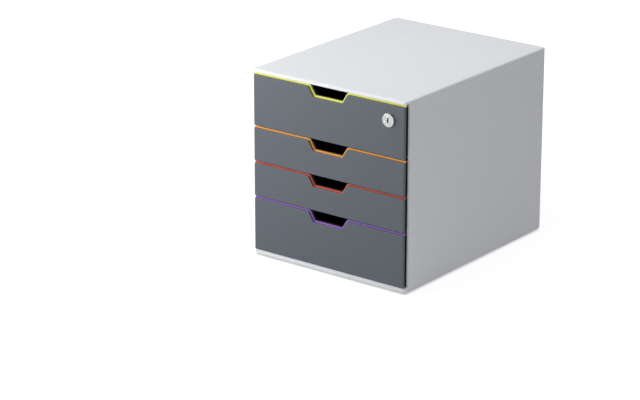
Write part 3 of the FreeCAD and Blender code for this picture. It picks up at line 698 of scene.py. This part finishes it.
class FILEDRAWER_OT_lock(Operator):
    """Model the lock's ring and core, and finish its nut, cam and strike"""

    bl_idname = "file_drawer.lock"
    bl_label = "Cam lock"

    def execute(self, context):
        colours = context.scene.file_drawer_colours
        sizes = context.scene.file_drawer_sizes
        # Zinc die casting, tumbled and nickel plated: pale silver with a soft mirror.
        nickel = plated_metal("bright nickel plating", colours.nickel, roughness=0.16)
        fit_piece(lock_ring(sizes), nickel, "drawer_1", "lock_chrome", "lock_barrel")
        core = lock_core(sizes)
        fit_piece(core, nickel, "lock", "lock_chrome", "lock_plug")
        # Near-black metal on the keyway's walls: painted shade, standing in for the darkness deep in the
        # narrow slot.
        core.data.materials.append(
            plated_metal("oiled dark steel of the keyway", linear("#1B1A18"), roughness=0.55)
        )
        shade_keyway_walls(core, sizes)
        # Pressed steel with a thin zinc coat: greyer, with a duller mirror.
        zinc = plated_metal("zinc-plated pressed steel", colours.zinc, roughness=0.36)
        finish_node(["lock_nut", "lock_cam", "lock_strike"], zinc)
        return {"FINISHED"}


class FILEDRAWER_OT_screws(Operator):
    """Model the cross-recessed screws of the fronts, the back panel and the lock's cam"""

    bl_idname = "file_drawer.screws"
    bl_label = "Screws"

    def execute(self, context):
        colours = context.scene.file_drawer_colours
        # Rolled steel screws with a bright zinc coat.
        zinc = plated_metal("bright zinc-plated steel", colours.zinc, roughness=0.28)
        radius, height, shank = SCREW_HEAD_RADIUS, SCREW_HEAD_HEIGHT, SCREW_SHANK
        rows = [(f"{drawer}_screws", drawer) for drawer in DRAWERS] + [("back_panel_screws", "housing")]
        for node, body in rows:
            low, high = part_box(node)
            seat = Vector((0, high.y - height, 0))
            pattern = pan_head_screw("pattern", seat, radius, height, shank, seat.y - low.y)
            screws = screws_at(f"{node}_cross_head", pattern, screw_places(low, high, radius))
            bpy.data.objects.remove(pattern)
            fit_piece(screws, zinc, body, "screw_steel", node)
        low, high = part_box("lock_cam_screw")
        radius = (high.x - low.x) / 2
        seat = Vector(((low.x + high.x) / 2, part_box("lock_cam")[1].y, (low.z + high.z) / 2))
        screw = pan_head_screw(
            "lock_cam_cross_head", seat, radius, high.y - seat.y, shank, seat.y - low.y
        )
        fit_piece(screw, zinc, "lock", "lock_steel", "lock_cam_screw")
        return {"FINISHED"}


class FILEDRAWER_OT_feet(Operator):
    """Model the four rubber feet"""

    bl_idname = "file_drawer.feet"
    bl_label = "Feet"

    def execute(self, context):
        colours = context.scene.file_drawer_colours
        sizes = context.scene.file_drawer_sizes
        # Soft black rubber: a dull skin that barely shines.
        rubber = moulded_plastic(
            "black moulded rubber", colours.rubber, grain=0.9 * MM, relief=0.03 * MM, roughness=0.7
        )
        low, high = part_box(FEET[0])
        centre = Vector(((low.x + high.x) / 2, (low.y + high.y) / 2, 0))
        pattern = rubber_foot("pattern", centre, (high.x - low.x) / 2, high.z, sizes.foot_ring)
        for node in FEET:
            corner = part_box(node)[0]
            foot = copy_of(pattern, f"{node}_bumper", (corner.x - low.x, corner.y - low.y, 0))
            fit_piece(foot, rubber, "housing", "foot_rubber", node)
        bpy.data.objects.remove(pattern)
        return {"FINISHED"}


# ---- Studio -------------------------------------------------------------------------------------


def softbox(name, azimuth, elevation, distance, width, height, power):
    """Area light aimed at the drawers, its power in watts.

    Azimuth 0 is in front of the drawers and 90 on their right.
    """
    turn, rise = math.radians(azimuth), math.radians(elevation)
    away = Vector((math.sin(turn) * math.cos(rise), -math.cos(turn) * math.cos(rise), math.sin(rise)))
    light = bpy.data.lights.new(name, "AREA")
    light.shape = "RECTANGLE"
    light.size = width
    light.size_y = height
    light.energy = power
    lamp = bpy.data.objects.new(name, light)
    lamp.location = LIGHT_TARGET + away * distance
    lamp.rotation_euler = away.to_track_quat("Z", "Y").to_euler()
    bpy.context.scene.collection.objects.link(lamp)


def floor_finish():
    """Matt white paper. What looks at it sees it evenly lit, and it keeps the shadow."""
    material, tree = new_material("matt white backdrop paper")
    paper = add_node(tree, "ShaderNodeBsdfDiffuse", values={"Color": (FLOOR_BOUNCE,) * 3 + (1,)})
    shaded = add_node(tree, "ShaderNodeBsdfDiffuse", values={"Color": (FLOOR_SHADE,) * 3 + (1,)})
    # Far from the lamps the glow rises to plain white, so that no horizon shows from low down.
    place = add_node(tree, "ShaderNodeTexCoord").outputs["Object"]
    away = add_node(tree, "ShaderNodeVectorMath", operation="LENGTH", links={0: place})
    level = add_node(
        tree,
        "ShaderNodeMapRange",
        values={"From Min": GLOW_NEAR, "From Max": GLOW_FAR, "To Min": FLOOR_GLOW, "To Max": 1.0},
        links={"Value": away.outputs["Value"]},
    )
    # Painted contact shadow: the glow fades in the last few millimetres under the object, so that it stands
    # on the paper.
    contact = add_node(tree, "ShaderNodeAmbientOcclusion", values={"Distance": CONTACT_SHADOW_REACH}, samples=8)
    open_part = add_node(
        tree,
        "ShaderNodeMapRange",
        values={"To Min": CONTACT_SHADOW_LEVEL, "To Max": 1.0},
        links={"Value": contact.outputs["AO"]},
    )
    faded = add_node(
        tree,
        "ShaderNodeMath",
        operation="MULTIPLY",
        links={0: level.outputs["Result"], 1: open_part.outputs["Result"]},
    )
    glow = add_node(
        tree,
        "ShaderNodeEmission",
        values={"Color": (1, 1, 1, 1)},
        links={"Strength": faded.outputs[0]},
    )
    seen = add_node(tree, "ShaderNodeAddShader", links={0: shaded.outputs[0], 1: glow.outputs[0]})
    mixed = add_node(
        tree,
        "ShaderNodeMixShader",
        links={0: seen_directly(tree), 1: paper.outputs[0], 2: seen.outputs[0]},
    )
    add_node(tree, "ShaderNodeOutputMaterial", links={"Surface": mixed.outputs[0]})
    return material


class FILEDRAWER_OT_studio(Operator):
    """Floor, plain soft light and camera"""

    bl_idname = "file_drawer.studio"
    bl_label = "Studio"

    def execute(self, context):
        bpy.ops.object.select_all(action="DESELECT")
        bpy.ops.mesh.primitive_plane_add(size=FLOOR_SIZE, location=(0, 0, 0))
        floor = context.active_object
        floor.name = "studio_floor"
        floor.data.materials.append(floor_finish())

        world = bpy.data.worlds.new("studio")
        world.use_nodes = True
        world.node_tree.nodes.clear()
        tree = world.node_tree
        dim = add_node(
            tree, "ShaderNodeBackground", values={"Color": (1, 1, 1, 1), "Strength": WORLD_LEVEL}
        )
        white = add_node(tree, "ShaderNodeBackground", values={"Color": (1, 1, 1, 1), "Strength": 1.0})
        mixed = add_node(
            tree,
            "ShaderNodeMixShader",
            links={0: seen_directly(tree), 1: dim.outputs[0], 2: white.outputs[0]},
        )
        add_node(tree, "ShaderNodeOutputWorld", links={"Surface": mixed.outputs[0]})
        context.scene.world = world

        softbox("overhead_light", -30, 74, 1.5, 1.2, 1.2, 8.2)
        softbox("rear_top_light", 170, 60, 2.2, 1.4, 1.4, 11.7)
        softbox("right_light", 42, 20, 3.0, 1.0, 1.0, 15.0)
        softbox("left_light", -42, 17, 1.0, 0.7, 0.45, 6.3)

        camera = bpy.data.objects.new("camera", bpy.data.cameras.new("camera"))
        camera.location = CAMERA_PLACE
        camera.rotation_euler = (math.pi / 2 - CAMERA_DROP, 0, CAMERA_TURN)
        camera.data.sensor_width = 36
        camera.data.lens = CAMERA_LENS
        camera.data.clip_start = 0.1
        camera.data.clip_end = 60
        context.scene.collection.objects.link(camera)
        context.scene.camera = camera
        context.scene.view_settings.view_transform = "Standard"
        return {"FINISHED"}


class FILEDRAWER_PT_panel(Panel):
    """Steps that dress the file drawer, in order"""

    bl_idname = "FILEDRAWER_PT_panel"
    bl_label = "File Drawer"
    bl_space_type = "VIEW_3D"
    bl_region_type = "UI"
    bl_category = "File Drawer"

    def draw(self, context):
        layout = self.layout
        for group in (context.scene.file_drawer_colours, context.scene.file_drawer_sizes):
            box = layout.box()
            for name in group.__annotations__:
                box.prop(group, name)
        for operator in OPERATORS:
            layout.operator(operator.bl_idname)


OPERATORS = (
    FILEDRAWER_OT_housing,
    FILEDRAWER_OT_drawers,
    FILEDRAWER_OT_lock,
    FILEDRAWER_OT_screws,
    FILEDRAWER_OT_feet,
    FILEDRAWER_OT_studio,
)
GROUPS = (FileDrawerColours, FileDrawerSizes)
CLASSES = (*GROUPS, *OPERATORS, FILEDRAWER_PT_panel)


def register():
    """Adds the classes and the scene's settings."""
    for cls in CLASSES:
        bpy.utils.register_class(cls)
    bpy.types.Scene.file_drawer_colours = PointerProperty(type=FileDrawerColours)
    bpy.types.Scene.file_drawer_sizes = PointerProperty(type=FileDrawerSizes)


def unregister():
    """Takes the settings and classes away again."""
    del bpy.types.Scene.file_drawer_sizes
    del bpy.types.Scene.file_drawer_colours
    for cls in reversed(CLASSES):
        bpy.utils.unregister_class(cls)


def main():
    """Dresses the frame."""
    register()
    bpy.ops.file_drawer.housing()
    bpy.ops.file_drawer.drawers()
    bpy.ops.file_drawer.lock()
    bpy.ops.file_drawer.screws()
    bpy.ops.file_drawer.feet()
    bpy.ops.file_drawer.studio()
    bpy.context.view_layer.update()


if __name__ == "__main__":
    main()
